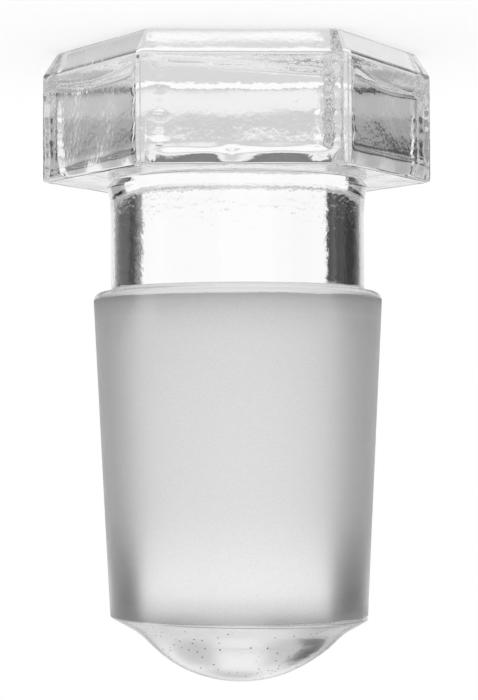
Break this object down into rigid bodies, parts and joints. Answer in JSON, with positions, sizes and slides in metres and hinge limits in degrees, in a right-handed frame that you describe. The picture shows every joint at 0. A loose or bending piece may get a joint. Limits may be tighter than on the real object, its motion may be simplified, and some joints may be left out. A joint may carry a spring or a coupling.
{
  "type": "glass stopper",
  "caption": "Solid pressed-glass stopper with a bevelled six-sided head, a round neck, a ground joint cone and a domed tip.",
  "frame": {"origin": "centre of the head's flat top, which is the face that the stopper stands on", "axes": "+Z along the stopper's axis, from the head to the domed tip; +X through one upright edge of the six-sided head, -Y out of the flat side nearest the viewer"},
  "size_m": [0.0394, 0.0344, 0.0636],
  "materials": {
    "glass": "clear pressed glass with softly uneven fire-polished faces; the joint cone is finely ground and frosted"
  },
  "bodies": {
    "root": {"stopper": "glass"}
  },
  "joints": []
}
